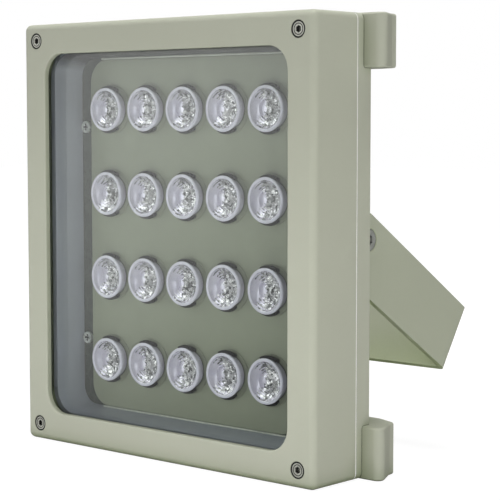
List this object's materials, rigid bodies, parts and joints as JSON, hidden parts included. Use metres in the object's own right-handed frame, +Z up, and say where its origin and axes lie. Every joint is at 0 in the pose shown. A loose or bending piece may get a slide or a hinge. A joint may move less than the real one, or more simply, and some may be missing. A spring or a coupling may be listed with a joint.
{
  "type": "infrared illuminator",
  "caption": "Flat rectangular infrared lamp with rows of round lenses behind glass, in a rimmed metal housing with corner ears, on a tilting U bracket.",
  "frame": {"origin": "on the bottom face of the lamp, in the middle of its width, at the joint plane of the front and rear housings", "axes": "+Z up, the window faces -Y, the bracket is behind at +Y, +X to the right seen along +Y"},
  "size_m": [0.2194, 0.1338, 0.22],
  "materials": {
    "housing_paint": "cast aluminium with a smooth pale grey-green satin powder coat",
    "bracket_paint": "sheet steel with the same satin powder coat",
    "plate_paint": "pressed aluminium sheet, satin grey-green paint",
    "window_glass": "clear toughened pane",
    "bare_aluminium": "bare cast aluminium, bead blasted",
    "seal_rubber": "moulded black rubber",
    "pale_seal": "pale silicone seal",
    "heat_pad": "soft heat pad",
    "board_mask": "circuit board with dark solder mask",
    "driver_mask": "circuit board with green solder mask",
    "screw_steel": "plain stainless steel",
    "transformer_core": "ferrite core with winding",
    "capacitor_can": "aluminium can",
    "terminal_plastic": "moulded terminal block",
    "gland_plastic": "moulded grey nylon",
    "lens_clear": "clear moulded lens, polished",
    "emitter_resin": "infrared emitter with a dark resin dome"
  },
  "bodies": {
    "lamp": {"back_cover": "housing_paint", "back_cover_screws": "screw_steel", "back_cover_seal": "seal_rubber", "capacitor": "capacitor_can", "corner_screws": "screw_steel", "cover_plate": "plate_paint", "driver_board": "driver_mask", "driver_screws": "screw_steel", "emitter_row_1": "emitter_resin", "emitter_row_2": "emitter_resin", "emitter_row_3": "emitter_resin", "emitter_row_4": "emitter_resin", "front_housing": "housing_paint", "gland_body": "gland_plastic", "gland_locknut": "gland_plastic", "gland_nut": "gland_plastic", "gland_ring": "seal_rubber", "gland_rubber": "seal_rubber", "glass_retainer": "bare_aluminium", "glass_seal": "seal_rubber", "heat_pad": "heat_pad", "housing_seal": "pale_seal", "led_board": "board_mask", "led_board_screws": "screw_steel", "lens_1_1": "lens_clear", "lens_1_2": "lens_clear", "lens_1_3": "lens_clear", "lens_1_4": "lens_clear", "lens_1_5": "lens_clear", "lens_2_1": "lens_clear", "lens_2_2": "lens_clear", "lens_2_3": "lens_clear", "lens_2_4": "lens_clear", "lens_2_5": "lens_clear", "lens_3_1": "lens_clear", "lens_3_2": "lens_clear", "lens_3_3": "lens_clear", "lens_3_4": "lens_clear", "lens_3_5": "lens_clear", "lens_4_1": "lens_clear", "lens_4_2": "lens_clear", "lens_4_3": "lens_clear", "lens_4_4": "lens_clear", "lens_4_5": "lens_clear", "pivot_screws": "screw_steel", "pivot_washers": "screw_steel", "rear_housing": "housing_paint", "terminal_block": "terminal_plastic", "transformer": "transformer_core", "window_glass": "window_glass"},
    "bracket": {"mounting_bracket": "bracket_paint"}
  },
  "joints": [
    {"name": "bracket_tilt", "type": "hinge", "parent": "lamp", "child": "bracket", "pos_m": [0, 0.0193, 0.1128], "axis": [1, 0, 0], "range_deg": [-17, 44]}
  ]
}
